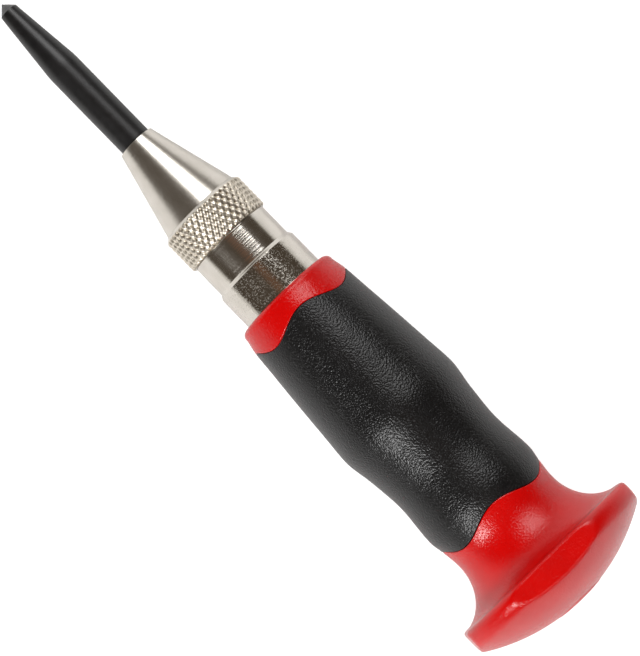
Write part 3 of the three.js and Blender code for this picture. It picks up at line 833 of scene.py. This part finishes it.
flare = []
flare_rise = HEAD_FLAT - FLARE_LAND - FLARE_START
for step in range(1, ARC_STEPS + 1):
    turn = math.pi / 2 * step / ARC_STEPS
    flare.append((HEAD_PLANE - FLARE_LENGTH * (1 - math.sin(turn)),
                  FLARE_START + flare_rise * (1 - math.cos(turn))))
disc_floor = dome_height(DISC_RADIUS) - DISC_THICKNESS
disc_well = DISC_RADIUS + DISC_GAP
bore_end = BARREL_REAR + BARREL_CLEARANCE
bore = [(bore_end, 0.0), (bore_end, CORE_BORE)]
collar = rounded([
    (COLLAR_FRONT + BORE_START, CORE_BORE, 0),
    (COLLAR_FRONT, CORE_BORE, EDGE_BREAK),
    (COLLAR_FRONT, COLLAR_RADIUS, COLLAR_ROUND),
    *plain(outline_between(0, FRONT_EDGE)[1:-1]),
    (*outline_places[FRONT_EDGE], EDGE_ROUND),
    (GRIP_FRONT, GRIP_SEAT, 0),
])
neck = rounded([
    (GRIP_REAR, GRIP_SEAT, 0),
    (*outline_places[REAR_EDGE], EDGE_ROUND),
    *plain(outline_between(REAR_EDGE, OUTLINE_END)[1:]),
])
head = rounded([
    *plain(flare),
    (HEAD_PLANE, HEAD_RADIUS, RIM_FRONT_ROUND),
    (RIM_REAR, HEAD_RADIUS, RIM_REAR_ROUND),
    *plain(dome_arc(HEAD_RADIUS - RIM_TO_DOME, disc_well, 0)),
    (disc_floor - DISC_GAP, disc_well, 0),
    (disc_floor - DISC_GAP, 0.0, 0),
], HEAD_ROUND_STEPS)
core_mesh = turned("red_core", bore + collar + neck + head, HANDLE_SIDES, core_form)
dress(core_mesh, [red_abs], "handle", "handle_core")

disc_mesh = turned("palm_disc", rounded([
    (disc_floor, 0.0, 0),
    (disc_floor, DISC_RADIUS, FINE_BREAK),
    (dome_height(DISC_RADIUS) + DISC_PROUD, DISC_RADIUS, GROUND_BREAK),
    *plain(dome_arc(DISC_RADIUS - DISC_RIM, 0.0, DISC_PROUD)),
]), SHOWN_SIDES)
dress(disc_mesh, [red_abs], "handle", "end_disc")

# %% [markdown]
# ## Winding a spring
# Three coil springs are hidden inside. The engineering model has them with few facets, so finer wire takes
# their place along the same helices. A curve with a bevel could draw the wire, but the frame asks for
# meshes, so a function lays rings of points along the helix and joins them.

# %% Winding a spring
WIRE_SIDES = 14
STEPS_PER_TURN = 40
WIRE_SHARP_ANGLE = 40


def coil(name, radius, wire, turns, length):
    """Wire, of this radius, along a helix round X that starts at the origin, in millimetres."""
    count = round(turns * STEPS_PER_TURN) + 1
    share = np.linspace(0, 1, count)
    turn = 2 * np.pi * turns * share
    rise = (length - 2 * wire) * share + wire
    slope = math.atan2(length - 2 * wire, 2 * np.pi * turns * radius)
    around = np.arange(WIRE_SIDES) * 2 * np.pi / WIRE_SIDES
    outward = np.stack([np.zeros(count), np.sin(turn), np.cos(turn)], axis=-1)
    forward = np.stack([np.full(count, math.cos(slope)), -math.sin(slope) * np.cos(turn),
                        math.sin(slope) * np.sin(turn)], axis=-1)
    middle = outward * radius + np.stack([rise, np.zeros(count), np.zeros(count)], axis=-1)
    rings = (middle[:, None] + wire * (np.cos(around)[:, None] * outward[:, None]
                                       + np.sin(around)[:, None] * forward[:, None]))
    faces = [tuple(range(WIRE_SIDES)), tuple(range((count - 1) * WIRE_SIDES, count * WIRE_SIDES))]
    for row in range(count - 1):
        for column in range(WIRE_SIDES):
            following = (column + 1) % WIRE_SIDES
            faces.append((row * WIRE_SIDES + column, row * WIRE_SIDES + following,
                          (row + 1) * WIRE_SIDES + following, (row + 1) * WIRE_SIDES + column))
    return smooth_mesh(name, rings.reshape(-1, 3) * MM, faces, WIRE_SHARP_ANGLE)


# %% [markdown]
# ## The three springs
# The main spring drives the hammer, the return spring pushes the plunger out again, and a tiny spring holds
# the sear off centre. In the tool, the main spring and the sear's spring are squashed as the point is pushed
# in, towards the end that stands still, by as much as the hammer or the sear moves. Here they only get
# meshes of their own.

# %% The three springs
MAIN_FRONT = 101.55
MAIN_LENGTH = 26.0
RETURN_FRONT = 57.45
RETURN_LENGTH = 9.9
SEAR_ALONG = 75.45
SEAR_SEAT = 4.0
SEAR_LENGTH = 2.0

main_mesh = coil("main_coil", radius=5.8, wire=0.9, turns=6.5, length=MAIN_LENGTH)
main_mesh.transform(Matrix.Translation((MAIN_FRONT * MM, 0, 0)))
main_coil = dress(main_mesh, [wire_steel], "handle", "main_spring")
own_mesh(main_coil)

return_mesh = coil("return_coil", radius=4.0, wire=0.5, turns=5.5, length=RETURN_LENGTH)
return_mesh.transform(Matrix.Translation((RETURN_FRONT * MM, 0, 0)))
dress(return_mesh, [wire_steel], "hammer", "return_spring")

sear_mesh = coil("sear_coil", radius=0.85, wire=0.18, turns=2, length=SEAR_LENGTH)
crosswise = Matrix.Rotation(-math.pi / 2, 4, "Z")
sear_mesh.transform(Matrix.Translation((SEAR_ALONG * MM, SEAR_SEAT * MM, 0)) @ crosswise)
sear_coil = dress(sear_mesh, [wire_steel], "hammer", "sear_spring")
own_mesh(sear_coil)

# %% [markdown]
# ## Finishes of the inner pieces
# The pieces that stay hidden in the barrel keep their engineering shape. They still get a real finish, for
# anyone who takes the tool apart: ground steel for what slides and strikes, nylon for the stop washer.

# %% Finishes of the inner pieces
inner_finish = {"stop_washer": nylon}
for node in ("plunger", "drive_pin", "hammer", "sear", "trip_sleeve", "spring_washer", "rear_plug",
             "handle_pin"):
    inner_finish[node] = inner_steel
for node, finish in inner_finish.items():
    piece = frame["nodes"][node]
    piece.data.materials.clear()
    piece.data.materials.append(finish)
print("inner pieces finished:", len(inner_finish))

# %% [markdown]
# ## Bench
# The bench is a plain white plane. For camera and mirror rays a little light of its own is added, so that
# it renders white, as in a product picture, and metal mirrors it as white. The Light Path node tells these
# rays from those that carry light to the tool, which the glow leaves alone.

# %% Bench
BENCH_HALF = 2.5
SEEN_GLOW = 0.72
MIRROR_GLOW = 0.24

bench_mesh = bpy.data.meshes.new("bench")
bench_mesh.from_pydata([(-BENCH_HALF, -BENCH_HALF, 0), (BENCH_HALF, -BENCH_HALF, 0),
                        (BENCH_HALF, BENCH_HALF, 0), (-BENCH_HALF, BENCH_HALF, 0)], [], [(0, 1, 2, 3)])
bench = bpy.data.objects.new("bench", bench_mesh)
bpy.context.scene.collection.objects.link(bench)
bench_paint = bpy.data.materials.new("white_bench_paint")
bench_paint.use_nodes = True
tree = bench_paint.node_tree
tree.nodes.clear()
rays = add(tree, "ShaderNodeLightPath").outputs
mirror = add(tree, "ShaderNodeMath", {0: rays["Is Glossy Ray"], 1: rays["Is Transmission Ray"]},
             operation="MAXIMUM").outputs[0]
mirrored = add(tree, "ShaderNodeMath", {0: mirror, 1: MIRROR_GLOW}, operation="MULTIPLY").outputs[0]
glow = add(tree, "ShaderNodeMath", {0: rays["Is Camera Ray"], 1: SEEN_GLOW, 2: mirrored},
           operation="MULTIPLY_ADD").outputs[0]
paint = add(tree, "ShaderNodeBsdfDiffuse", {"Color": linear("#e8e8e8")})
light = add(tree, "ShaderNodeEmission", {"Strength": glow})
both = add(tree, "ShaderNodeAddShader", {0: paint.outputs[0], 1: light.outputs[0]})
add(tree, "ShaderNodeOutputMaterial", {"Surface": both.outputs[0]})
bench_mesh.materials.append(bench_paint)
print("bench", 2 * BENCH_HALF, "m wide")

# %% [markdown]
# ## Lamps
# Polished metal shows its surroundings, so lamps are placed by where their mirror image has to lie. Seen
# from the tip, a broad softbox stands near and to the left. The cone, the upper part of the barrel and the
# front of the grip mirror it. A weaker one beyond the palm end lights the dome. A small one to the right
# gives the soft spot on the waist of the grip.

# %% Lamps


def softbox(name, toward, distance, length, width, watts):
    """A lamp that lies across the tool; toward is its direction in the tool's axes, sizes are in metres."""
    direction = (tool_axes.to_3x3() @ Vector(toward)).normalized()
    sideways = (across - direction * across.dot(direction)).normalized()
    lamp = bpy.data.lights.new(name, "AREA")
    lamp.shape = "RECTANGLE"
    lamp.size = length
    lamp.size_y = width
    lamp.energy = watts
    source = bpy.data.objects.new(name, lamp)
    source.matrix_world = Matrix((sideways, direction.cross(sideways), direction)).transposed().to_4x4()
    source.matrix_world.translation = place(AIM_ALONG) + direction * distance
    bpy.context.scene.collection.objects.link(source)
    print(name, watts, "W")


softbox("key_softbox", toward=(-0.53, 0.43, 0.73), distance=1.1, length=0.6, width=0.76, watts=7.6)
softbox("palm_softbox", toward=(0.75, -0.1, 0.61), distance=1.2, length=0.9, width=0.7, watts=2.5)
softbox("side_softbox", toward=(0.39, -0.66, 0.65), distance=1.2, length=0.36, width=0.24, watts=10.0)

# %% [markdown]
# ## The room
# Above the tool the studio's ceiling is dark, which gives metal its dark bands, and a little brown right
# overhead. Near the horizon the room is pale, like the bench. A mirror-like cylinder shows all of this:
# pale sides, a dark middle and a brown streak. A photographed room would do the same, but a ramp over the
# height of the view is easier to steer: 0 is the horizon and 1 is straight up.

# %% The room
HORIZON = (0.05, "#f4f2ee")
CEILING_START = (0.16, "#50473d")
CEILING_END = (0.955, "#50473d")
OVERHEAD = (0.99, "#7c5b46")

world = bpy.data.worlds.new("studio")
bpy.context.scene.world = world
world.use_nodes = True
tree = world.node_tree
direction = add(tree, "ShaderNodeTexCoord").outputs["Generated"]
height = add(tree, "ShaderNodeSeparateXYZ", {"Vector": direction}).outputs["Z"]
room = add(tree, "ShaderNodeValToRGB", {"Fac": height}, [HORIZON, CEILING_START, CEILING_END, OVERHEAD])
tree.links.new(room.outputs["Color"], tree.nodes["Background"].inputs["Color"])
bpy.context.scene.view_settings.view_transform = "Standard"
print("room with", len(room.color_ramp.elements), "tones")
